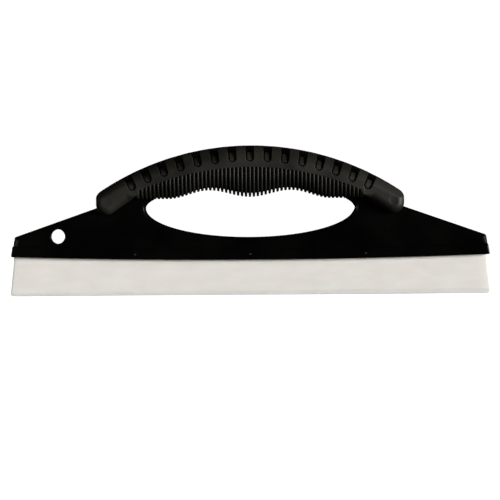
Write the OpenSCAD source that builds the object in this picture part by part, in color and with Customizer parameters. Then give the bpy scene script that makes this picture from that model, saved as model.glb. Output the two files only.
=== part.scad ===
// Hand squeegee with a soft silicone blade: a two-part hollow body with a blade rail along its
// bottom edge, an arched core covered in soft rubber, and a silicone blade held by a bead and pins.
// +X runs along the blade, +Z up from the wiping edge to the grip, and the front faces -Y.
// The origin is the middle of the wiping edge.

/* [Overall] */
// Length of the wiping edge
edge_len = 304.8; // [300.4:0.1:330]
// Height from the wiping edge to the top of the grip
total_h = 95; // [93:0.5:97]

/* [Body] */
// Length of the body along its bottom edge
body_len = 303.8; // [303:0.1:329]
// Thickness of the flat web
web_t = 8; // [7:0.5:10]
// Thickness of the blade rail
rail_t = 12; // [11:0.5:14]
// Height of the blade rail
rail_h = 7; // [6.5:0.25:8]
// Height of the body's bottom edge above the wiping edge, at the ends
body_z_end = 24.85; // [24:0.1:26]
// How far the bottom edge bows down in the middle
body_bow = 2.65; // [0.5:0.05:2.8]
// Height of the body's shoulders
shoulder_z = 37.4; // [36:0.1:39]
// Slope of the body's upper edges, in degrees
slope_a = 19.3; // [17:0.1:20]
// Wall thickness of the hard mouldings
wall = 2.2; // [1.8:0.1:2.5]

/* [Hand opening] */
// Half length of the hand opening
open_a = 66.2; // [64:0.1:67]
// Height of the opening's widest line
open_z = 55.5; // [55:0.1:56]
// Depth of the opening below its widest line
open_drop = 18.7; // [16:0.1:19]
// Rise of the opening's ends above its widest line
open_rise = 13.7; // [13:0.1:14]

/* [Grip] */
// Radius of the crown of the grip
crown_r = 172; // [168:1:176]
// Thickness of the grip from front to rear, in the middle
grip_t = 26; // [25.5:0.5:28]
// Loss of thickness at each end of the grip, on each face
grip_taper = 2.5; // [1:0.1:3]
// Thickness of the soft rubber cover
cover_t = 2.5; // [2:0.1:3]
// Depth of the smooth band above the fins
band_h = 14; // [13:0.1:15]
// Number of rounded recesses in the band
slot_count = 15; // [9:2:17]
// Spacing of the recesses along the crown
slot_pitch = 11.6; // [11.2:0.1:11.8]
// Width of a recess
slot_w = 5.4; // [3.5:0.1:6]
// Reach of a recess below the crown
slot_reach = 10.7; // [8:0.1:11.5]
// Depth of a recess
slot_d = 1; // [0.6:0.1:1.4]
// Reach of the hard lugs that fill the top of each recess
lug_reach = 3.3; // [2:0.1:3.6]
// Spacing of the fins
fin_pitch = 2.52; // [2.4:0.02:3]
// Width of a fin
fin_w = 1.25; // [1:0.05:1.4]
// Depth of the grooves between the fins
fin_d = 1.8; // [1:0.1:1.8]

/* [Blade] */
// Thickness of the blade in the rail
blade_t = 4; // [3.6:0.1:4.4]
// Thickness of the wiping edge
edge_t = 1; // [0.8:0.1:1.4]
// Thickness of the bead that holds the blade in the rail
bead_t = 5.8; // [5:0.1:6.2]
// Height of the bevelled strip along the wiping edge
bevel_h = 2.5; // [2:0.1:3]
// Length of the blade at the rail
root_len = 300.4; // [275:0.1:300.4]

/* [Hanging hole] */
// Radius of the hanging hole
hang_r = 4.6; // [4:0.1:5]
// Distance of the hanging hole from the middle
hang_x = 122.2; // [118:0.1:124]
// Height of the hanging hole
hang_z = 37.8; // [37:0.1:38.5]

/* [Pins] */
// Radius of a blade pin
pin_r = 0.75; // [0.6:0.05:0.9]
// Distance of the outer pins from the middle
pin_x = 73; // [60:1:120]
// Height of the pins
pin_z = 26; // [25.8:0.1:26.2]

/* [Hidden] */
$fn = 96;
eps = 0.01;

// Body
body_half = body_len / 2;
body_z_mid = body_z_end - body_bow;
bow_r = (body_half * body_half + body_bow * body_bow) / (2 * body_bow);
shoulder_x = body_half - 1.9;
shoulder_r = 2;
flare_a = atan2(body_half - shoulder_x, shoulder_z - body_z_end);
web_bevel = 2.4;
web_bevel_d = 1.8;
rail_round = 1;
rim = 3.4;

// Grip, seen from the front
crown_z = total_h - crown_r;
lobe_r = 6.6;
lobe_x = 91;
lobe_z = 58;
lobe_top_z = crown_z + sqrt(pow(crown_r - lobe_r, 2) - lobe_x * lobe_x);
lobe_top_a = atan2(lobe_top_z - crown_z, lobe_x);
lobe_low_a = 235.6;
lobe_low_z = 63;
skirt_x = 72;
skirt_z = 61.2;
mouth_x = 61;
band_low_r = 176;
tip_mid_z = 62.25;
tip_crest_z = 66.5;
tip_wave = 52;

// Grip, in section
flank_r = 40;
flank_u = 15;
flank_h = 22;
top_r = 12.5;
arch_span = 76;
plan_half = lobe_x + lobe_r;
plan_r = (plan_half * plan_half + grip_taper * grip_taper) / (2 * grip_taper);
plan_end_r = 4;
lug_stem_y = 4.5;
lug_stem_reach = 4.5;
slot_step = slot_pitch / crown_r * 180 / PI;
fin_gap = fin_pitch - fin_w;
groove_half = floor((skirt_x - fin_w) / fin_pitch + 0.5);

// Blade
blade_slack = 0.03;
bead_h = 2.3;
bead_top_z = 29.3;
hinge_z = body_z_mid - 1.9;
seat_gap = 0.25;
knuckle_r = blade_t / 2 - 0.1;
strip_t = 1.8;
corner_r = 2;
pin_slack = 0.02;
pin_proud = 0.15;

// Joining pegs: x and z of each on the right, mirrored on the left
pegs = [[140, 35.5], [104, 41], [78, 47], [42, 35], [84, 62], [58, 74.5], [20, 80]];
peg_r = 1.5;
peg_len = 2.8;
boss_r = 2.8;

// ---------------------------------------------------------------- curves

// A round stretch of outline, from angle a0 to a1
function arc(cx, cz, r, a0, a1, n = 12) =
    [for (i = [0:n]) let (a = a0 + (a1 - a0) * i / n) [cx + r * cos(a), cz + r * sin(a)]];

// The right half of an outline and its mirror image, as one closed loop
function both_sides(right) = concat(right, [for (i = [len(right) - 1:-1:0])
    if (right[i][0] > eps) [-right[i][0], right[i][1]]]);

// Height of the body's bottom edge
function bow_z(x) = body_z_mid + bow_r - sqrt(bow_r * bow_r - x * x);

// Height of the fin tips: a crest over each pair of fingers, level towards the ends
function tip_z(x) =
    let (low = abs(x) < tip_wave / 2 ? tip_mid_z : skirt_z)
    abs(x) >= tip_wave ? skirt_z : low + (tip_crest_z - low) * (1 - cos(360 * x / tip_wave)) / 2;

// How far the fins stand below the rubber between them
function fin_drop(x) = 0.8 + 0.85 * (1 + cos(180 * min(abs(x), tip_wave) / tip_wave));

// Underside of the hard core
function core_z(x) = tip_z(x) + fin_drop(x) + cover_t;

// Lower edge of the smooth band
function band_z(x) = total_h - band_h - band_low_r + sqrt(band_low_r * band_low_r - x * x);

// ---------------------------------------------------------------- outlines, seen from the front

// Raises an outline drawn in X and Z into a slab between the depths y0 and y1
module slab(y0, y1) translate([0, y1, 0]) rotate([90, 0, 0]) linear_extrude(y1 - y0) children();

// The body without its openings, drawn in by t
module body_outline(t = 0) {
    low_x = body_half - t;
    mid_a = (90 - slope_a + flare_a) / 2;
    spread = cos((90 - slope_a - flare_a) / 2);
    r = max(shoulder_r - t, 0.3);
    reach = (t + r) / spread;
    low = [for (i = [0:24]) let (x = low_x * i / 24) [x, bow_z(x) + t]];
    shoulder = arc(shoulder_x - reach * cos(mid_a), shoulder_z - reach * sin(mid_a), r, flare_a, 90 - slope_a, 6);
    peak = [[0, shoulder_z + shoulder_x * tan(slope_a) - t / cos(slope_a)]];
    polygon(both_sides(concat(low, shoulder, peak)));
}

// The rail along the body's bottom edge, drawn in by t
module rail_outline(t = 0) {
    n = 24;
    top_x = body_half - rail_h * tan(flare_a) - t;
    low = [for (i = [0:n]) let (x = (body_half - t) * i / n) [x, bow_z(x) + t]];
    top = [for (i = [n:-1:0]) let (x = top_x * i / n) [x, bow_z(x) + rail_h - t]];
    polygon(both_sides(concat(low, top)));
}

// The lower lip and the ends of the hand opening, grown by t: right half
function opening_rim(t) =
    let (end_a = acos(mouth_x / (open_a + t)))
    concat(
        [for (i = [0:24]) let (a = -90 + 90 * i / 24) [(open_a + t) * cos(a), open_z + (open_drop + t) * sin(a)]],
        [for (i = [1:6]) let (a = end_a * i / 6) [(open_a + t) * cos(a), open_z + (open_rise + t) * sin(a)]]);

// The hand opening cut in the web, grown by t, up into the wall of the hard core
module opening_outline(t = 0) {
    top = [for (i = [24:-1:0]) let (x = mouth_x * i / 24) [x, core_z(x) + 1]];
    polygon(both_sides(concat(opening_rim(t), top)));
}

// The grip, drawn in by t; lower says whether the finger side runs along the fin tips or the core
module grip_outline(t = 0, lower = "tips") {
    reach = skirt_x - t;
    fingers = [for (i = [0:48]) let (x = reach * i / 48)
        [x, tip_z(x) + (lower == "tips" ? 0 : fin_drop(x) + t)]];
    end = concat(
        [[reach, lobe_low_z + t * 0.3]],
        arc(lobe_x, lobe_z, lobe_r - t, lobe_low_a, 360, 14),
        arc(lobe_x, lobe_top_z, lobe_r - t, 0, lobe_top_a, 6),
        [[lobe_x + (lobe_r - t) * cos(lobe_top_a), total_h + 5], [0, total_h + 5]]);
    polygon(both_sides(concat(fingers, end)));
}

// A row of windows across the crown, each reaching down by reach
module slot_windows(reach) {
    for (i = [0:slot_count - 1])
        translate([0, crown_z]) rotate((i - (slot_count - 1) / 2) * slot_step) {
            translate([-slot_w / 2, crown_r - reach]) square([slot_w, reach + 2]);
        }
}

// The rounded recesses in the band
module slot_outline() {
    slot_windows(slot_reach - slot_w / 2);
    for (i = [0:slot_count - 1])
        translate([0, crown_z]) rotate((i - (slot_count - 1) / 2) * slot_step)
            translate([0, crown_r - slot_reach + slot_w / 2]) circle(d = slot_w);
}

// The room that the hard lugs take: their faces in the crown, and the stems down to the core
module lug_room() {
    slab(-grip_t, eps) slot_windows(lug_reach);
    slab(-lug_stem_y, eps) slot_windows(lug_stem_reach);
}

// The gaps between the fins
module groove_outline() {
    for (i = [-groove_half:groove_half - 1]) let (x = (i + 0.5) * fin_pitch)
        translate([x - fin_gap / 2, skirt_z - 5]) square([fin_gap, band_z(x) - skirt_z + 5]);
}

// ---------------------------------------------------------------- the arched grip

// Half of the grip's cross-section, drawn in by t; x is the distance from the crown's centre
module grip_section(t = 0) {
    flank_x = crown_r - flank_u;
    round_x = crown_r - top_r;
    low_a = 90 + asin(flank_h / (flank_r - t));
    flank = arc(flank_x, grip_t / 2 - flank_r, flank_r - t, low_a, 90, 5);
    crown = arc(round_x, grip_t / 2 - top_r, top_r - t, 90, 0, 9);
    polygon(concat([[flank[0][0], 0]], flank, crown, [[crown_r - t, 0]]));
}

// The front half of the arch as a turned solid, drawn in by t
module arch_turned(t = 0) {
    translate([0, 0, crown_z]) rotate([90, 0, 0]) rotate([0, 0, 90 - arch_span / 2])
        rotate_extrude(angle = arch_span) grip_section(t);
}

// The grip's front half from above, drawn in by t
module grip_plan(t = 0) {
    n = 10;
    end_r = plan_end_r - t / 2;
    corner_y = grip_t / 2 - grip_taper - t - end_r;
    last_x = plan_half - t - end_r;
    front = [for (i = [0:n]) let (x = last_x * i / n)
        [x, -(grip_t / 2 - t - plan_r + sqrt(plan_r * plan_r - x * x))]];
    corner = [for (i = [1:6]) let (a = 90 - 90 * i / 6) [last_x + end_r * cos(a), -(corner_y + end_r * sin(a))]];
    polygon(both_sides(concat(front, corner, [[plan_half - t, eps]])));
}

// The front half of the grip, drawn in by t
module grip_half(t = 0, lower = "tips") {
    intersection() {
        arch_turned(t);
        slab(-grip_t, 0) grip_outline(t, lower);
        translate([0, 0, body_z_mid]) linear_extrude(total_h) grip_plan(t);
    }
}

// ---------------------------------------------------------------- the hard body

// The front half of the flat web, bevelled all round, with its hand opening
module web_half() {
    difference() {
        hull() {
            slab(-web_t / 2, 0) body_outline(web_bevel);
            slab(-web_t / 2 + web_bevel_d, 0) body_outline();
        }
        slab(-web_t, eps) opening_outline();
        intersection() {
            hull() {
                slab(-web_t / 2 + web_bevel_d, -web_t / 2 + web_bevel_d + eps) polygon(both_sides(opening_rim(0)));
                slab(-web_t / 2 - eps, -web_t / 2) polygon(both_sides(opening_rim(web_bevel)));
            }
            translate([-body_half, -web_t, 0]) cube([body_len, web_t, skirt_z]);
        }
    }
}

// The front half of the rail, with its edges eased in one step
module rail_half() {
    slab(-rail_t / 2 + rail_round, 0) rail_outline();
    slab(-rail_t / 2, 0) rail_outline(rail_round);
}

// Pillars left standing in the hollow: a boss behind each peg, and a collar round the hanging hole
module pillars() {
    for (side = [-1, 1]) for (p = pegs)
        translate([side * p[0], 0, p[1]]) rotate([90, 0, 0]) cylinder(r = boss_r, h = grip_t / 2);
    translate([-hang_x, 0, hang_z]) rotate([90, 0, 0]) cylinder(r = hang_r + wall, h = web_t / 2);
}

// The hollow of the front half, in the arch and in the web
module hollow_half() {
    difference() {
        union() {
            grip_half(cover_t + wall, "core");
            slab(-web_t / 2 + wall, eps) difference() {
                body_outline(rim);
                opening_outline(rim);
                rail_outline(-2);
            }
        }
        pillars();
    }
}

// The slot in the rail that the blade's strip and bead fill
module blade_pocket() {
    half = root_len / 2 + blade_slack;
    translate([-half, -blade_t / 2 - blade_slack, hinge_z - 5])
        cube([2 * half, blade_t / 2 + blade_slack + eps, bead_top_z - hinge_z + 5]);
    translate([-half, -bead_t / 2 - blade_slack, bead_top_z - bead_h - blade_slack])
        cube([2 * half, bead_t / 2 + blade_slack + eps, bead_h + 2 * blade_slack]);
}

// The three blade pins, from one depth to another
module pin_row(r, y0, y1) {
    for (x = [-pin_x, 0, pin_x])
        translate([x, y1, pin_z]) rotate([90, 0, 0]) cylinder(r = r, h = y1 - y0);
}

// Every joining peg, on both sides
module peg_row(r, h) {
    for (side = [-1, 1]) for (p = pegs)
        translate([side * p[0], h, p[1]]) rotate([90, 0, 0]) cylinder(r = r, h = h + eps);
}

// One half of the body, before its pegs or sockets
module shell_half() {
    difference() {
        union() {
            web_half();
            rail_half();
            grip_half(cover_t, "core");
            intersection() {
                grip_half();
                intersection() {
                    lug_room();
                    translate([-plan_half, -grip_t, 0]) cube([2 * plan_half, grip_t, total_h]);
                }
            }
        }
        hollow_half();
        blade_pocket();
        pin_row(pin_r + pin_slack, -rail_t, rail_t);
        translate([-hang_x, web_t, hang_z]) rotate([90, 0, 0]) cylinder(r = hang_r, h = 2 * web_t);
    }
}

module front_shell() {
    color("#101010") {
        shell_half();
        peg_row(peg_r, peg_len);
    }
}

module rear_shell() {
    color("#101010") difference() {
        mirror([0, 1, 0]) shell_half();
        peg_row(peg_r + pin_slack, peg_len + 0.2);
    }
}

// ---------------------------------------------------------------- the soft rubber cover

// The front half of the cover: a skin over the core, with fins, recesses and windows for the lugs
module cover_half() {
    difference() {
        union() {
            grip_half(fin_d, "core");
            difference() {
                grip_half();
                slab(-grip_t, eps) groove_outline();
            }
        }
        grip_half(cover_t, "core");
        web_half();
        difference() {
            slab(-grip_t, eps) slot_outline();
            arch_turned(slot_d);
        }
        lug_room();
    }
}

module grip_front() color("#3a3a36") cover_half();

module grip_rear() color("#3a3a36") mirror([0, 1, 0]) cover_half();

// ---------------------------------------------------------------- the blade

module blade_root() {
    color("#ddd6cf") difference() {
        union() {
            translate([-root_len / 2, -blade_t / 2, hinge_z])
                cube([root_len, blade_t, bead_top_z - hinge_z - bead_h + eps]);
            translate([-root_len / 2, -bead_t / 2, bead_top_z - bead_h]) cube([root_len, bead_t, bead_h]);
        }
        translate([-root_len, 0, hinge_z]) rotate([0, 90, 0]) cylinder(r = knuckle_r + seat_gap, h = 2 * root_len);
        pin_row(pin_r + pin_slack, -rail_t, rail_t);
    }
}

// The blade's free part, seen from the front: it widens downwards to round corners
module lip_outline() {
    top_z = hinge_z + knuckle_r;
    polygon(both_sides(concat([[0, 0]], arc(edge_len / 2 - corner_r, corner_r, corner_r, -90, 0, 8),
        [[root_len / 2, top_z], [0, top_z]])));
}

module blade_lip() {
    color("#ddd6cf") intersection() {
        slab(-blade_t, blade_t) lip_outline();
        translate([-edge_len / 2, 0, 0]) rotate([90, 0, 90]) linear_extrude(edge_len) {
            translate([0, hinge_z]) circle(knuckle_r);
            polygon([[-knuckle_r, hinge_z], [-strip_t / 2, bevel_h], [-edge_t / 2, 0],
                [edge_t / 2, 0], [strip_t / 2, bevel_h], [knuckle_r, hinge_z]]);
        }
    }
}

module blade_pins() color("#8a8d90") pin_row(pin_r, -rail_t / 2 - pin_proud, rail_t / 2 + pin_proud);

front_shell();
rear_shell();
grip_front();
grip_rear();
blade_root();
blade_lip();
blade_pins();
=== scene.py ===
"""Looks of a hand squeegee: hard plastic body, soft rubber grip, silicone blade.

Lengths in this script are millimetres until a mesh is made; the meshes are in metres.
+X runs along the blade, +Z up from the wiping edge to the grip, and the front faces -Y.
"""

import bmesh
import bpy
import numpy as np
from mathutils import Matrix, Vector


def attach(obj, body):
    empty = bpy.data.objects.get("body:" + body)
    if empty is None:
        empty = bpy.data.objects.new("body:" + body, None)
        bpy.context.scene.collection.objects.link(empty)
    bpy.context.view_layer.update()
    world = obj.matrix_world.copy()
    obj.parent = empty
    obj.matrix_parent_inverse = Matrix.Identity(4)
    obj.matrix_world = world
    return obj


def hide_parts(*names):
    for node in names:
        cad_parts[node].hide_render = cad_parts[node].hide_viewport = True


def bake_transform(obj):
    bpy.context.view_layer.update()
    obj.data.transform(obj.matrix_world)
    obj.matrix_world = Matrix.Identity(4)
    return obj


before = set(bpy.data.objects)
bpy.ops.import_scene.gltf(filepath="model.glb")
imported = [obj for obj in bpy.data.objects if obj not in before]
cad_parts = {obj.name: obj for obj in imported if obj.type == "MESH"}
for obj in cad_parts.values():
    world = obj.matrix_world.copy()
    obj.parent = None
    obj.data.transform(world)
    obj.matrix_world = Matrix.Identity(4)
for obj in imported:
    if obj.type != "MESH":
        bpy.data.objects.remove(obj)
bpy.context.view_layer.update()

MM = 0.001
rad = np.radians

# Body, seen from the front
BODY_HALF = 151.9
BOW_Z_MID = 22.2
BOW = 2.65
BOW_R = (BODY_HALF**2 + BOW**2) / (2 * BOW)
SHOULDER_X, SHOULDER_Z, SHOULDER_R = 150.0, 37.4, 2.0
FLARE = np.arctan2(1.9, 12.55)
SLOPE = rad(19.3)
WEB_Y = 4.0
RAIL_Y = 6.0
RAIL_H = 7.0
OPEN_A, OPEN_Z, OPEN_DROP, OPEN_RISE, MOUTH_X = 66.2, 55.5, 18.7, 13.7, 61.0
HANG_X, HANG_Z, HANG_R = -122.2, 37.8, 4.6

# Grip
CROWN_R, CROWN_Z = 172.0, -77.0
LOBE_R, LOBE_X, LOBE_Z, LOBE_TOP_Z = 6.6, 91.0, 58.0, 61.05
LOBE_LOW_A, LOBE_TOP_A, LOBE_LOW_Z = rad(235.6), rad(56.6), 63.0
SKIRT_X, SKIRT_Z = 72.0, 61.2
BAND_LOW_R, BAND_LOW_Z = 176.0, -95.0
GRIP_Y, TAPER = 13.0, 2.5
PLAN_R = (97.6**2 + TAPER**2) / (2 * TAPER)
TOP_R, FLANK_R, FLANK_U = 12.5, 40.0, 15.0
SPINE_Y = GRIP_Y - TOP_R
CORE_R = 10.6
LOBE_ROUND_AT = [0, 0.03, 0.12, 0.35, 0.6, 1]
LOBE_ROUND_R = [0.01, 1.5, 5.2, 5.2, 4.8, 4.4]
DIMPLE_X, DIMPLE_Z, DIMPLE_D = 90.6, 59.2, 0.22

# Slots and lugs in the crown
SLOTS, SLOT_STEP = 15, 11.6 / CROWN_R
SLOT_W, SLOT_REACH, RIM_D = 5.4, 10.7, 0.8
LUG_R, LUG_REACH = 12.47, 3.3

# Fins, and how far they roll under towards the fingers
FIN_PITCH, FIN_W, FIN_D = 2.52, 1.25, 2.1
FINS_EACH_SIDE = 28
ROLL_H, ROLL_D = 11.5, 10.5

# Blade: lengths, half thicknesses from the edge up to the root, and the bevelled strip
HINGE_Z, EDGE_HALF, ROOT_HALF = 20.3, 152.4, 150.2
FLARE_H, CORNER_R = 20.2, 2
EDGE_T, STRIP_T, LIP_T, HINGE_T, ROOT_T = 0.5, 0.86, 0.9, 1.9, 1.95
STRIP_Z, STRIP_TILT = 2.45, 0.75

PIN_X, PIN_Z = 73, 26


# ------------------------------------------------------------------ curves

def bow_z(x):
    """Height of the body's bottom edge."""
    return BOW_Z_MID + BOW_R - np.sqrt(BOW_R**2 - np.asarray(x, float) ** 2)


def tip_z(x):
    """Height of the fin tips: a crest over each pair of fingers."""
    x = np.abs(np.asarray(x, float))
    low = np.where(x < 26, 62.25, SKIRT_Z)
    return np.where(x >= 52, SKIRT_Z, low + (66.5 - low) * (1 - np.cos(2 * np.pi * x / 52)) / 2)


def fin_drop(x):
    """How far the fins stand below the rubber between them."""
    return 0.8 + 0.85 * (1 + np.cos(np.pi * np.minimum(np.abs(x), 52) / 52))


def band_z(x):
    """Lower edge of the smooth band."""
    return BAND_LOW_Z + np.sqrt(BAND_LOW_R**2 - np.asarray(x, float) ** 2)


def arc(cx, cz, r, a0, a1, n):
    a = np.linspace(a0, a1, n + 1)
    return np.stack([cx + r * np.cos(a), cz + r * np.sin(a)], 1)


def smooth(a, b, v):
    t = np.clip((v - a) / (b - a), 0, 1)
    return t * t * (3 - 2 * t)


def both_sides(right):
    """The right half of an outline and its mirror image, as one closed loop."""
    left = right[::-1] * [-1, 1]
    if right[-1][0] < 1e-6:
        left = left[1:]
    if right[0][0] < 1e-6:
        left = left[:-1]
    return np.concatenate([right, left])


def spaced(path, n):
    """n + 1 points evenly spaced along a path."""
    step = np.hypot(*np.diff(path, axis=0).T)
    s = np.concatenate([[0], np.cumsum(step)])
    t = np.linspace(0, s[-1], n + 1)
    return np.stack([np.interp(t, s, path[:, 0]), np.interp(t, s, path[:, 1])], 1)


# ------------------------------------------------------------------ mesh building

class Shape:
    """Vertices and faces in millimetres, gathered from closed parts."""

    def __init__(self):
        self.verts, self.faces = [], []

    def add(self, verts, faces):
        base = len(self.verts)
        self.verts.extend(map(tuple, np.asarray(verts, float).reshape(-1, 3)))
        self.faces.extend([tuple(base + i for i in f) for f in faces])
        return base

    def mirrored(self):
        other = Shape()
        other.verts = [(x, -y, z) for x, y, z in self.verts]
        other.faces = [f[::-1] for f in self.faces]
        return other

    def rings(self, rings, cap=True):
        """Closed loops joined one after another, with flat ends."""
        n = len(rings[0])
        faces = []
        for k in range(len(rings) - 1):
            for i in range(n):
                j = (i + 1) % n
                faces.append((k * n + i, k * n + j, (k + 1) * n + j, (k + 1) * n + i))
        if cap:
            faces.append(tuple(range(n))[::-1])
            faces.append(tuple((len(rings) - 1) * n + i for i in range(n)))
        return self.add(np.concatenate(rings), faces)


def build(name, shape, sharp, material):
    mesh = bpy.data.meshes.new(name)
    mesh.from_pydata([(x * MM, y * MM, z * MM) for x, y, z in shape.verts], [], shape.faces)
    bm = bmesh.new()
    bm.from_mesh(mesh)
    bmesh.ops.remove_doubles(bm, verts=bm.verts, dist=1e-7)
    bmesh.ops.dissolve_degenerate(bm, edges=bm.edges, dist=1e-7)
    bmesh.ops.recalc_face_normals(bm, faces=bm.faces)
    bm.to_mesh(mesh)
    bm.free()
    mesh.shade_smooth()
    mesh.set_sharp_from_angle(angle=rad(sharp))
    obj = bpy.data.objects.new(name, mesh)
    bpy.context.scene.collection.objects.link(obj)
    mesh.materials.append(material)
    return obj


# ------------------------------------------------------------------ body

def web_outline(t):
    """The flat web's outline, drawn in by t; its lower edge is inside the rail."""
    mid = (np.pi / 2 - SLOPE + FLARE) / 2
    spread = np.cos((np.pi / 2 - SLOPE - FLARE) / 2)
    r = max(SHOULDER_R - t, 0.3)
    reach = (t + r) / spread
    x = (BODY_HALF - t) * np.linspace(0, 1, 49)
    low = np.stack([x, bow_z(x) + t + 0.6], 1)
    shoulder = arc(SHOULDER_X - reach * np.cos(mid), SHOULDER_Z - reach * np.sin(mid), r,
                   FLARE, np.pi / 2 - SLOPE, 8)
    peak = [[0, SHOULDER_Z + SHOULDER_X * np.tan(SLOPE) - t / np.cos(SLOPE)]]
    return both_sides(np.concatenate([low, shoulder, peak]))


def opening_outline(t):
    """The hand opening, grown by t; its upper edge is inside the grip."""
    end = np.arccos(MOUTH_X / (OPEN_A + t))
    low = arc(0, 0, 1, -np.pi / 2, 0, 48) * [OPEN_A + t, OPEN_DROP + t] + [0, OPEN_Z]
    rise = (arc(0, 0, 1, 0, end, 8) * [OPEN_A + t, OPEN_RISE + t] + [0, OPEN_Z])[1:]
    x = np.linspace(MOUTH_X, 0, 25)
    top = np.stack([x, tip_z(x) + fin_drop(x) + 3.5], 1)
    return both_sides(np.concatenate([low, rise, top]))


def hole_outline(t):
    a = np.linspace(0, 2 * np.pi, 49)[:-1]
    return np.stack([HANG_X + (HANG_R + t) * np.cos(a), HANG_Z + (HANG_R + t) * np.sin(a)], 1)


# Edge profiles: how far in from the outline, and how deep from the parting plane
WEB_EDGE = [(0.15, 0), (0, 0.15), (0, 0.9), (0.1, 1.3), (0.45, 2.0), (0.85, 2.75), (1.2, 3.4),
            (1.5, 3.55), (2.2, 3.73), (2.9, 3.9), (3.15, 3.96), (3.4, WEB_Y), (3.7, WEB_Y)]
HOLE_EDGE = [(0.1, 0), (0, 0.12), (0, 3.75), (0.04, 3.88), (0.14, 3.97), (0.3, WEB_Y),
             (0.45, WEB_Y)]


def web(shape):
    """The front half of the web, as one closed part with two holes."""
    bm = bmesh.new()
    front, back = [], []
    for outline, edge in ((web_outline, WEB_EDGE), (opening_outline, WEB_EDGE),
                          (hole_outline, HOLE_EDGE)):
        rows = []
        for t, depth in edge:
            rows.append([bm.verts.new((x, -depth, z)) for x, z in outline(t)])
        n = len(rows[0])
        for a, b in zip(rows, rows[1:]):
            for i in range(n):
                j = (i + 1) % n
                bm.faces.new((a[i], a[j], b[j], b[i]))
        for row, kept in ((rows[0], back), (rows[-1], front)):
            kept.extend(bm.edges.get((row[i], row[(i + 1) % n])) for i in range(n))
    for edges, normal in ((front, (0, -1, 0)), (back, (0, 1, 0))):
        bmesh.ops.triangle_fill(bm, use_beauty=True, use_dissolve=False, edges=edges, normal=normal)
    bm.verts.index_update()
    shape.add([v.co for v in bm.verts], [tuple(v.index for v in f.verts) for f in bm.faces])
    bm.free()


def rail(shape):
    """The front half of the rail: a bar with eased edges, open below for the blade."""
    def section(wall, ease, inset):
        pts = [(wall, 6.2), (wall, ease), (wall - ease, 0), (-4.9, 0), (-5.42, 0.13),
               (-5.86, 0.55), (-6.0, 1.1), (-6.0, 2.0), (-6.0, 4.6), (-6.0, 5.7), (-5.9, 6.3),
               (-5.62, 6.75), (-5.2, 6.97), (-4.75, 7.0), (-4.3, 6.98), (-3.95, 6.7), (-3.7, 6.2)]
        return [(max(y, -RAIL_Y + inset), min(max(w, inset), RAIL_H - inset)) for y, w in pts]

    # Position, inner wall, ease of its lower edge, inset; closed beyond the blade's ends
    stations = [(x, -2.05, 0.3, 0.0) for x in np.linspace(0, 150.25, 61)]
    stations += [(150.26, 0.0, 0.15, 0.0), (150.8, 0.0, 0.15, 0.0)]
    for a in (0, 22.5, 45, 67.5, 90):
        stations.append((BODY_HALF - 1 + np.sin(rad(a)), 0.0, 0.15, 1 - np.cos(rad(a))))
    stations = [(-x, *rest) for x, *rest in stations[:0:-1]] + stations
    rings = []
    for x, wall, ease, inset in stations:
        ring = []
        for y, w in section(wall, ease, inset):
            px = x * (BODY_HALF - w * np.tan(FLARE)) / BODY_HALF
            ring.append((px, y, float(bow_z(px)) + w))
        rings.append(np.array(ring))
    shape.rings(rings)


def slot_point(angle, u, r, h):
    """A point beside a slot's axis: u across it, r from the crown's centre, h to the front."""
    sin, cos = np.sin(angle), np.cos(angle)
    return (r * sin + u * cos, -h, CROWN_Z + r * cos - u * sin)


def lug(shape, angle):
    """A hard block that shows in the crown."""
    half = SLOT_W / 2 + 0.15
    across = [(-half, CORE_R), (-half, 12.2), (-half + 0.04, 12.34), (-half + 0.14, 12.43),
              (-half + 0.3, 12.46), (-1, LUG_R), (0, LUG_R), (1, LUG_R)]
    across += [(-u, r) for u, r in across[4::-1]]
    # Angles round the crown's section from the parting plane, with a rounded lower end
    end = np.arccos((TOP_R - LUG_REACH) / LUG_R)
    stations = [(-1, 0)] + [(a, 0) for a in np.linspace(0, end - rad(3), 8)]
    stations += [(end - rad(1.6), 0.03), (end - rad(0.7), 0.12), (end - rad(0.1), 0.3),
                 (end, 0.6), (end, 1.8)]
    rings = []
    for a, drop in stations:
        ring = []
        for u, r in across:
            r = max(min(r, LUG_R - drop), 10.4)
            if a < 0:
                up, out = r, 0
            else:
                up, out = r * np.cos(a), SPINE_Y + r * np.sin(a)
            ring.append(slot_point(angle, u, CROWN_R - TOP_R + up, out))
        rings.append(np.array(ring))
    shape.rings(rings)


def core(shape):
    """The hard arch inside the rubber, which carries the lugs."""
    section = [(CROWN_R - TOP_R + CORE_R, 0)]
    section += [(CROWN_R - TOP_R + CORE_R * np.cos(a), SPINE_Y + CORE_R * np.sin(a))
                for a in np.linspace(0, rad(56), 6)]
    rings = []
    for a in np.linspace(rad(-27.3), rad(27.3), 60):
        x = 150 * np.sin(a)
        low = float(tip_z(x) + fin_drop(x) + 3 - CROWN_Z) / np.cos(a)
        ring = section + [(max(low, 150), 7.5), (low, 6.0), (low, 0)]
        rings.append(np.array([(r * np.sin(a), -h, CROWN_Z + r * np.cos(a)) for r, h in ring]))
    shape.rings(rings)


# ------------------------------------------------------------------ grip

def lower_path():
    """The lobe's lower edge, from the fins round to its outer side."""
    start = [[SKIRT_X, LOBE_LOW_Z]]
    return np.concatenate([start, arc(LOBE_X, LOBE_Z, LOBE_R, LOBE_LOW_A, 2 * np.pi, 60)])


LOBE_EDGE = spaced(np.concatenate(
    [lower_path(), arc(LOBE_X, LOBE_TOP_Z, LOBE_R, 0, LOBE_TOP_A, 24)]), 300)
LOBE_EDGE_S = np.linspace(0, 1, 301)


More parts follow.
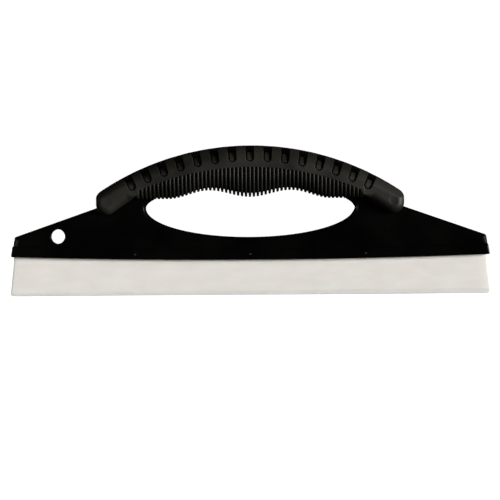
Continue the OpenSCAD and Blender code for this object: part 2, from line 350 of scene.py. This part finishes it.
def section_depth(r):
    """Half depth of the grip at a distance from the crown's centre."""
    over = np.sqrt(np.maximum(TOP_R**2 - (r - CROWN_R + TOP_R) ** 2, 0)) + GRIP_Y - TOP_R
    under = GRIP_Y - FLANK_R + np.sqrt(np.maximum(FLANK_R**2 - (CROWN_R - FLANK_U - r) ** 2, 0))
    flank = np.where(r > CROWN_R - FLANK_U, GRIP_Y, under)
    return np.where(r > CROWN_R - TOP_R, over, flank)


def depth(x, z):
    """Half depth of the grip, rounded off towards the lobes' edges."""
    r = np.hypot(x, z - CROWN_Z)
    plan = GRIP_Y - PLAN_R + np.sqrt(PLAN_R**2 - x**2)
    ax = np.abs(x)
    gap = np.hypot(ax[..., None] - LOBE_EDGE[:, 0], z[..., None] - LOBE_EDGE[:, 1])
    near = gap.argmin(-1)
    d = np.take_along_axis(gap, near[..., None], -1)[..., 0]
    s = LOBE_EDGE_S[near]
    rho = np.interp(s, LOBE_ROUND_AT, LOBE_ROUND_R)
    end = plan - rho + np.sqrt(np.maximum(rho**2 - np.maximum(rho - d, 0) ** 2, 0))
    a = section_depth(r)
    # The two surfaces meet in a fillet of width k; the lobes have a shallow dimple
    k = 0.7
    dimple = DIMPLE_D * (1 - smooth(1.6, 3.4, np.hypot(ax - DIMPLE_X, z - DIMPLE_Z)))
    return np.minimum(a, end) - np.maximum(k - np.abs(a - end), 0) ** 2 / (4 * k) - dimple


def recess(x, z, y):
    """Sinks the surface into the rounded slots, along its own normal."""
    r = np.hypot(x, z - CROWN_Z)
    angle = np.arctan2(x, z - CROWN_Z)
    axis = np.clip(np.round(angle / SLOT_STEP), -(SLOTS // 2), SLOTS // 2) * SLOT_STEP
    u, v = r * np.sin(angle - axis), r * np.cos(angle - axis)
    low = CROWN_R - SLOT_REACH + SLOT_W / 2
    edge = np.where(v < low, np.hypot(u, v - low), np.abs(u)) - SLOT_W / 2
    # A groove along the rim, which ends below the lug
    below_lug = 1 - smooth(0, 0.8, v - CROWN_R + LUG_REACH + 0.4)
    rim = RIM_D * np.exp(-((edge + 0.45) / 0.3) ** 2) * below_lug
    deep = np.interp(v, [CROWN_R - SLOT_REACH, CROWN_R - LUG_REACH], [0.8, 1.75])
    sink = deep * (1 - smooth(-0.3, 0.1, edge)) + rim
    a = np.arctan2(np.maximum(y - SPINE_Y, 0), np.maximum(r - CROWN_R + TOP_R, 1e-6))
    shrink = 1 - sink * np.cos(a) / r
    return x * shrink, CROWN_Z + (z - CROWN_Z) * shrink, np.maximum(y - sink * np.sin(a), 0)


def quads(grid_shape):
    """The numbers of a grid's points, and the faces between them."""
    idx = np.arange(grid_shape[0] * grid_shape[1]).reshape(grid_shape)
    faces = np.stack([idx[:-1, :-1], idx[:-1, 1:], idx[1:, 1:], idx[1:, :-1]], -1)
    return idx, faces.reshape(-1, 4).tolist()


def band(shape):
    """The smooth band and the lobes of the front half, as one closed part."""
    start = rad(28.9)
    height = 14
    # Columns beside each edge of a slot, and how many columns lie between them
    groups = (-0.88, -0.64, -0.42, -0.22, -0.04, 0.14, 0.35)
    steps = [3]
    for i in range(SLOTS):
        steps += [1] * 6 + [8] + [1] * 6 + ([13] if i < SLOTS - 1 else [3])
    marks = np.concatenate([[0], np.cumsum(steps)])

    def angles(r):
        """The columns' angles at radius r, kept parallel to the slots' edges."""
        out = [-start]
        for i in range(-(SLOTS // 2), SLOTS // 2 + 1):
            for side in (-1, 1):
                shift = groups if side > 0 else [-g for g in groups[::-1]]
                out += [i * SLOT_STEP + np.arcsin((side * SLOT_W / 2 + g) / r) for g in shift]
        return np.interp(np.arange(marks[-1] + 1), marks, out + [start])

    phi = np.concatenate([np.arange(0, 64, 4), np.arange(64, 83, 1.5), [84.5, 87.2, 90]])
    drop = np.concatenate([TOP_R * (1 - np.cos(rad(phi))),
                           [12.9, 13.2, 13.5, 13.75, 13.9, height]]) / height

    # The radial columns over the fins, in rows from the crown to the band's lower edge
    rise = CROWN_Z - BAND_LOW_Z
    slant = 1 / np.tan(-LOBE_LOW_A)
    edge_a = np.arctan2(SKIRT_X, band_z(SKIRT_X) - CROWN_Z)
    grid = []
    for f in drop:
        a = angles(CROWN_R - height * f)
        for _ in range(2):
            cos = np.cos(a)
            low_r = -rise * cos + np.sqrt(rise**2 * cos**2 + BAND_LOW_R**2 - rise**2)
            line_r = (LOBE_LOW_Z - CROWN_Z - slant * SKIRT_X) / (cos - slant * np.sin(np.abs(a)))
            low_r = np.where(np.abs(a) > edge_a, line_r, low_r)
            r = CROWN_R - f * (CROWN_R - low_r)
            a = angles(r.mean()) if f < 0.8 else a
        grid.append(np.stack([r * np.sin(a), CROWN_Z + r * np.cos(a)], 1))
    middle = np.array(grid)

    # The lobe's columns, from its upper edge to its lower edge
    n = 36
    crown_end = np.arctan2(LOBE_X + LOBE_R * np.cos(LOBE_TOP_A),
                           LOBE_TOP_Z + LOBE_R * np.sin(LOBE_TOP_A) - CROWN_Z)
    a = np.linspace(start, crown_end, 60)
    upper = np.stack([CROWN_R * np.sin(a), CROWN_Z + CROWN_R * np.cos(a)], 1)
    upper = np.concatenate([upper, arc(LOBE_X, LOBE_TOP_Z, LOBE_R, LOBE_TOP_A, 0, 30)[1:]])
    low = lower_path()
    low = np.concatenate([middle[-1][-1:], low[low[:, 0] > middle[-1][-1, 0] + 0.2]])
    top, bottom = spaced(upper, n)[1:], spaced(low, n)[1:]
    lobe = top[None] + drop[:, None, None] * (bottom - top)[None]
    # The last columns step down the lobe's outer wall to the parting plane
    end_cols = [4.6, 2.4, 0.7, 0.15, 0.0]
    lobe = np.concatenate([lobe, np.repeat(lobe[:, -1:], len(end_cols), 1)], 1)
    flat = np.concatenate([lobe[:, ::-1] * [-1, 1], middle, lobe], 1)
    free = np.full(flat.shape[1] - 2 * len(end_cols), 99.0)
    limit = np.concatenate([end_cols[::-1], free, end_cols])

    x, z = flat[..., 0], flat[..., 1]
    y = depth(x, z)

    def seam(xs, zs, inward):
        """Draws a row in a little, for the fine groove at the parting plane."""
        side = np.minimum(1, np.maximum(0, (np.abs(xs) - 90) / 7.5)) * np.sign(xs)
        return xs - 0.15 * side, zs + 0.15 * inward

    # Rows on the walls above and below, down to the parting plane
    x0, z0 = seam(x[0], z[0], -1)
    x9, z9 = seam(x[-1], z[-1], 1)
    zero = np.zeros_like(x0)
    wall = y[-1]
    x = np.concatenate([[x0, x[0]], x, [x[-1], x[-1], x9]])
    z = np.concatenate([[z0, z[0]], z, [z[-1], z[-1], z9]])
    y = np.concatenate([[zero, zero + 0.15], y, [wall - 0.3, zero + 0.15, zero]])
    y = np.minimum(y, limit)
    x, z, y = recess(x, z, y)
    idx, faces = quads(x.shape)
    for j in range(1, x.shape[1] - 2):
        faces.append((idx[0, j], idx[-1, j], idx[-1, j + 1], idx[0, j + 1]))
    faces.append(tuple(idx[:, 0]) + (idx[-1, 1], idx[0, 1]))
    faces.append(tuple(idx[::-1, -1]) + (idx[0, -2], idx[-1, -2]))
    shape.add(np.stack([x, -y, z], -1).reshape(-1, 3), faces)


def fins(shape):
    """The upright fins and the rubber between them, as one closed part tucked under the band."""
    # Columns, from the middle of each fin to the middle of the groove beside it
    across = [0, 0.2, 0.36, 0.49, 0.58, 0.63, 0.68, 0.76, 0.9, 1.08, FIN_PITCH / 2]
    across = np.array([-o for o in across[:0:-1]] + across[:-1])
    x = np.concatenate([i * FIN_PITCH + across
                        for i in range(-FINS_EACH_SIDE, FINS_EACH_SIDE + 1)])
    x = x[np.abs(x) < 71.2]
    ends = [71.3, 71.6, 71.75, 71.87, 71.96, 72.0]
    x = np.concatenate([-np.array(ends[::-1]), x, ends])
    off = np.abs(x - np.round(x / FIN_PITCH) * FIN_PITCH)
    off = np.where(np.abs(x) > FINS_EACH_SIDE * FIN_PITCH, 0, off)
    stand = 1 - smooth(0.7, 0.98, off)
    blunt = 0.35 * (1 - np.sqrt(np.clip(1 - (off / 0.95) ** 2, 0, 1)))
    # Both ends are rounded off
    e = np.minimum(SKIRT_X - np.abs(x), 0.7)
    ease = 0.7 - np.sqrt(np.maximum(0.49 - (0.7 - e) ** 2, 0))
    low = tip_z(x) + fin_drop(x) * (1 - stand) + blunt * stand + ease
    top = band_z(x) + 0.8
    # The lower part rolls under along a quarter of an ellipse
    roll = np.minimum(ROLL_H, 0.9 * (top - low))
    tip_d = np.minimum(np.minimum(ROLL_D, roll), 0.88 * depth(x, low))
    steps = np.concatenate([[0, 0.06, 0.12], np.linspace(0.2, 1, 8)])
    zs = [top + (low + roll - top) * q for q in steps]
    cut = [0 * x] * len(steps)
    for q in np.linspace(0, 1, 13)[1:]:
        zs.append(low + roll * (1 - q))
        cut.append(tip_d * (1 - np.sqrt(1 - (0.995 * q) ** 2)))
    z, cut = np.array(zs), np.array(cut)
    xx = np.repeat(x[None], len(z), 0)
    # A rounded ridge with steep sides; the grooves end above in an arch
    away = FIN_PITCH / 2 - off
    arch = np.maximum(0.95 - (band_z(x) - z), 0)
    wide = np.minimum(off, FIN_PITCH / 2 - np.minimum(np.hypot(away, arch), FIN_PITCH / 2))
    half = FIN_W / 2
    dome = half - np.sqrt(np.maximum(half**2 - np.minimum(wide, 0.97 * half) ** 2, 0))
    sunk = 0.75 * dome + (FIN_D - 0.5) * smooth(0.9 * half, half + 0.18, wide)
    y = depth(xx, z) - 0.03 - np.minimum(sunk, FIN_D) - cut - ease
    z = np.concatenate([[top], z, [low, low, low + 0.15]])
    y = np.concatenate([[0 * x], y, [y[-1] / 2, 0 * x + 0.15, 0 * x]])
    xx = np.repeat(x[None], len(z), 0)
    idx, faces = quads(z.shape)
    for j in range(z.shape[1] - 1):
        faces.append((idx[0, j], idx[-1, j], idx[-1, j + 1], idx[0, j + 1]))
    faces += [tuple(idx[:, 0]), tuple(idx[::-1, -1])]
    shape.add(np.stack([xx, -y, z], -1).reshape(-1, 3), faces)


# ------------------------------------------------------------------ blade and pins

def strip_z(x):
    """Height of the bevelled strip, which was ground a little deeper towards the right."""
    return STRIP_Z + STRIP_TILT * np.asarray(x) / EDGE_HALF


def blade(shape):
    """The whole silicone blade, from the rail down to the wiping edge."""
    u = np.concatenate([np.linspace(0, 0.985, 72), [0.992, 0.9965, 0.9987, 1.0]])
    inset = np.concatenate([np.zeros(72), [0, 0, 0.12, 0.35]])
    # The right end is cut at a slight slant
    slant = np.concatenate([np.zeros(71), [0.12, 0.17, 0.2, 0.25, 0.35]])
    u, inset = np.concatenate([-u[:0:-1], u]), np.concatenate([inset[:0:-1], slant])
    rings = []
    for uu, cut in zip(u, inset):
        line = float(strip_z(uu * EDGE_HALF))
        levels = [0, 0.06, 0.3, 0.8, 1.3, line - 0.12, line, line + 0.16, line + 0.5]
        levels += list(np.linspace(line + 1.4, HINGE_Z, 16)) + [21.4, 22.4, 23.6]
        half = []
        for k, z in enumerate(levels):
            if z < line:
                t = EDGE_T + (STRIP_T - EDGE_T) * z / line
            elif z < HINGE_Z:
                t = LIP_T + (HINGE_T - LIP_T) * (z - line) / (HINGE_Z - line)
            else:
                t = ROOT_T
            t -= 0.12 if k == 0 else 0
            flare = np.clip((BOW_Z_MID - z) / FLARE_H, 0, 1)
            wide = ROOT_HALF + (EDGE_HALF - ROOT_HALF) * flare
            wide -= CORNER_R - np.sqrt(CORNER_R**2 - max(CORNER_R - z, 0) ** 2)
            x = uu * wide
            # The part inside the rail follows the rail's bow; the lip is slightly wavy
            z = z if z < 22 else z + float(bow_z(x)) - BOW_Z_MID
            sway = 0.1 * np.sin(x / 19.0 + 0.6) * np.sin(x / 47.0)
            sway = sway * np.clip((18 - z) / 18, 0, 1)
            half.append((x, t - cut, z, sway))
        ring = [(x, -t + w, z) for x, t, z, w in half]
        ring += [(x, t + w, z) for x, t, z, w in half[::-1]]
        rings.append(np.array(ring))
    # The ends are closed by quads from front to back
    n = len(rings[0])
    base = shape.rings(rings, cap=False)
    for first in (base, base + n * (len(rings) - 1)):
        for i in range(n // 2 - 1):
            shape.faces.append((first + i, first + i + 1, first + n - 2 - i, first + n - 1 - i))


def pins(shape):
    """Three small pins through the rail, with slightly domed, dimpled ends."""
    profile = [(0.001, 6.06), (0.28, 6.07), (0.42, 6.13), (0.58, 6.14), (0.7, 6.1), (0.75, 6.0)]
    profile = [(r, -y) for r, y in profile] + [(r, y) for r, y in profile[::-1]]
    a = np.linspace(0, 2 * np.pi, 33)[:-1]
    for x in (-PIN_X, 0, PIN_X):
        shape.rings([np.stack([x + r * np.cos(a), np.full(32, y), PIN_Z + r * np.sin(a)], 1)
                     for r, y in profile])


# ------------------------------------------------------------------ materials

def material(name, colour, roughness, **values):
    mat = bpy.data.materials.new(name)
    mat.use_nodes = True
    shader = mat.node_tree.nodes["Principled BSDF"]
    shader.inputs["Base Color"].default_value = (*colour, 1)
    shader.inputs["Roughness"].default_value = roughness
    for key, value in values.items():
        shader.inputs[key.replace("_", " ")].default_value = value
    return mat, mat.node_tree.nodes, mat.node_tree.links, shader


def noise(nodes, links, scale, detail, stretch=(1, 1, 1)):
    coords = nodes.new("ShaderNodeTexCoord")
    mapping = nodes.new("ShaderNodeMapping")
    mapping.inputs["Scale"].default_value = stretch
    links.new(coords.outputs["Object"], mapping.inputs["Vector"])
    tex = nodes.new("ShaderNodeTexNoise")
    tex.inputs["Scale"].default_value = scale
    tex.inputs["Detail"].default_value = detail
    links.new(mapping.outputs["Vector"], tex.inputs["Vector"])
    return tex.outputs["Fac"]


def spread(nodes, links, value, low, high, a=0.35, b=0.65):
    """Maps a noise value to a range, or to a range of colours."""
    if isinstance(low, tuple):
        ramp = nodes.new("ShaderNodeValToRGB")
        for stop, position, colour in zip(ramp.color_ramp.elements, (a, b), (low, high)):
            stop.position, stop.color = position, (*colour, 1)
        links.new(value, ramp.inputs["Fac"])
        return ramp.outputs["Color"]
    span = nodes.new("ShaderNodeMapRange")
    for key, number in (("From Min", a), ("From Max", b), ("To Min", low), ("To Max", high)):
        span.inputs[key].default_value = number
    links.new(value, span.inputs["Value"])
    return span.outputs["Result"]


def bump(nodes, links, shader, value, distance, strength, under=None):
    node = nodes.new("ShaderNodeBump")
    node.inputs["Distance"].default_value = distance
    node.inputs["Strength"].default_value = strength
    links.new(value, node.inputs["Height"])
    if under is not None:
        links.new(under, node.inputs["Normal"])
    links.new(node.outputs["Normal"], shader.inputs["Normal"])
    return node.outputs["Normal"]


def plastic_material():
    mat, nodes, links, shader = material("black_plastic", (0.001, 0.001, 0.001), 0.3,
                                         Specular_IOR_Level=0.08)
    cloud = noise(nodes, links, 38, 3)
    links.new(spread(nodes, links, cloud, (0.0004, 0.0004, 0.0004), (0.0012, 0.0011, 0.0009)),
              shader.inputs["Base Color"])
    links.new(spread(nodes, links, cloud, 0.24, 0.34), shader.inputs["Roughness"])
    first = bump(nodes, links, shader, noise(nodes, links, 60, 2), 0.0001, 0.3)
    bump(nodes, links, shader, noise(nodes, links, 2600, 2), 0.00002, 0.3, first)
    return mat


def rubber_material():
    mat, nodes, links, shader = material("soft_rubber", (0.0095, 0.009, 0.007), 0.6,
                                         Specular_IOR_Level=0.25)
    cloud = noise(nodes, links, 55, 4)
    links.new(spread(nodes, links, cloud, (0.0057, 0.0053, 0.0033), (0.0129, 0.0118, 0.008)),
              shader.inputs["Base Color"])
    links.new(spread(nodes, links, cloud, 0.5, 0.64), shader.inputs["Roughness"])
    first = bump(nodes, links, shader, noise(nodes, links, 90, 2), 0.00015, 0.3)
    bump(nodes, links, shader, noise(nodes, links, 3200, 3), 0.00004, 0.6, first)
    return mat


def silicone_material():
    mat, nodes, links, shader = material("silicone", (0.7, 0.66, 0.61), 0.4,
                                         Specular_IOR_Level=0.35, Subsurface_Weight=0.5,
                                         Subsurface_Scale=0.006, Transmission_Weight=0.08)
    shader.inputs["Subsurface Radius"].default_value = (1.0, 0.85, 0.72)
    streak = noise(nodes, links, 110, 5, (0.6, 1, 1.5))
    links.new(spread(nodes, links, streak, (0.766, 0.733, 0.688), (0.806, 0.773, 0.728)),
              shader.inputs["Base Color"])
    links.new(spread(nodes, links, streak, 0.32, 0.46), shader.inputs["Roughness"])
    first = bump(nodes, links, shader, noise(nodes, links, 40, 2, (0.4, 1, 1.5)), 0.0003, 0.15)
    bump(nodes, links, shader, noise(nodes, links, 900, 2, (0.05, 1, 1)), 0.00002, 0.3, first)
    return mat


def steel_material():
    mat, nodes, links, shader = material("dark_steel", (0.05, 0.05, 0.05), 0.35, Metallic=1.0)
    fine = noise(nodes, links, 3000, 2)
    links.new(spread(nodes, links, fine, (0.04, 0.04, 0.04), (0.08, 0.08, 0.078)),
              shader.inputs["Base Color"])
    bump(nodes, links, shader, fine, 0.00002, 0.4)
    return mat


PLASTIC, RUBBER = plastic_material(), rubber_material()
SILICONE, STEEL = silicone_material(), steel_material()

# ------------------------------------------------------------------ pieces

body = Shape()
web(body)
rail(body)
core(body)
for i in range(SLOTS):
    lug(body, (i - SLOTS // 2) * SLOT_STEP)
grip = Shape()
band(grip)
fins(grip)

for half, side in (("front", 1), ("rear", -1)):
    for shape, name, node, sharp, mat, slot in (
            (body, "body_" + half, half + "_shell", 38, PLASTIC, "hard_plastic"),
            (grip, "grip_cover_" + half, "grip_" + half, 50, RUBBER, "soft_rubber")):
        piece = build(name, shape if side > 0 else shape.mirrored(), sharp, mat)
        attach(piece, "handle")
        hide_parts(node)

shape = Shape()
blade(shape)
piece = build("blade", shape, 24, SILICONE)
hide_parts("blade_root", "blade_lip")
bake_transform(piece)

shape = Shape()
pins(shape)
piece = build("pins", shape, 40, STEEL)
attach(piece, "handle")
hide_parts("blade_pins")

# ------------------------------------------------------------------ stage, light and camera

def stage_material():
    mat, nodes, links, shader = material("pale_floor", (0.8, 0.8, 0.8), 0.9, Specular_IOR_Level=0.0)
    shader.inputs["Emission Color"].default_value = (1, 1, 1, 1)
    shader.inputs["Emission Strength"].default_value = 0.95
    return mat


# The floor is a disc, in metres, just below the wiping edge
FLOOR_R, FLOOR_Z = 6, -0.0006
mesh = bpy.data.meshes.new("floor")
ring = [(FLOOR_R * np.cos(a), FLOOR_R * np.sin(a), FLOOR_Z)
        for a in np.linspace(0, 2 * np.pi, 65)[:-1]]
mesh.from_pydata(ring, [], [tuple(range(64))])
mesh.materials.append(stage_material())
floor = bpy.data.objects.new("floor", mesh)
bpy.context.scene.collection.objects.link(floor)
floor.visible_diffuse = floor.visible_glossy = floor.visible_transmission = False


def sun(name, azimuth, elevation, strength, spread_angle):
    """A soft distant light; the azimuth runs from the front towards the right."""
    data = bpy.data.lights.new(name, "SUN")
    data.energy, data.angle = strength, rad(spread_angle)
    obj = bpy.data.objects.new(name, data)
    bpy.context.scene.collection.objects.link(obj)
    a, e = rad(azimuth), rad(elevation)
    way = Vector((np.sin(a) * np.cos(e), -np.cos(a) * np.cos(e), np.sin(e)))
    obj.rotation_euler = way.to_track_quat("Z", "Y").to_euler()


sun("key", 62, 6, 6.9, 20)
sun("fill", -40, 2, 0.8, 20)
sun("back", 203, 2, 2.4, 16)

# The camera sees white behind the object; the object is lit by a weak glow from all round
world = bpy.data.worlds.new("studio")
bpy.context.scene.world = world
world.use_nodes = True
nodes, links = world.node_tree.nodes, world.node_tree.links
seen = nodes["Background"]
seen.inputs["Color"].default_value = (1, 1, 1, 1)
seen.inputs["Strength"].default_value = 1.05
glow = nodes.new("ShaderNodeBackground")
glow.inputs["Color"].default_value = (1, 1, 1, 1)
glow.inputs["Strength"].default_value = 0.03
path, mix = nodes.new("ShaderNodeLightPath"), nodes.new("ShaderNodeMixShader")
links.new(path.outputs["Is Camera Ray"], mix.inputs["Fac"])
links.new(glow.outputs["Background"], mix.inputs[1])
links.new(seen.outputs["Background"], mix.inputs[2])
links.new(mix.outputs["Shader"], nodes["World Output"].inputs["Surface"])

camera = bpy.data.cameras.new("camera")
camera.lens, camera.sensor_width = 135, 36
camera.clip_start, camera.clip_end = 0.01, 50
eye = bpy.data.objects.new("camera", camera)
bpy.context.scene.collection.objects.link(eye)
eye.location = (-0.0002, -1.1935, 0.02843)
eye.rotation_euler = (rad(90), rad(0.38), 0)
bpy.context.scene.camera = eye
bpy.context.scene.view_settings.view_transform = "Standard"
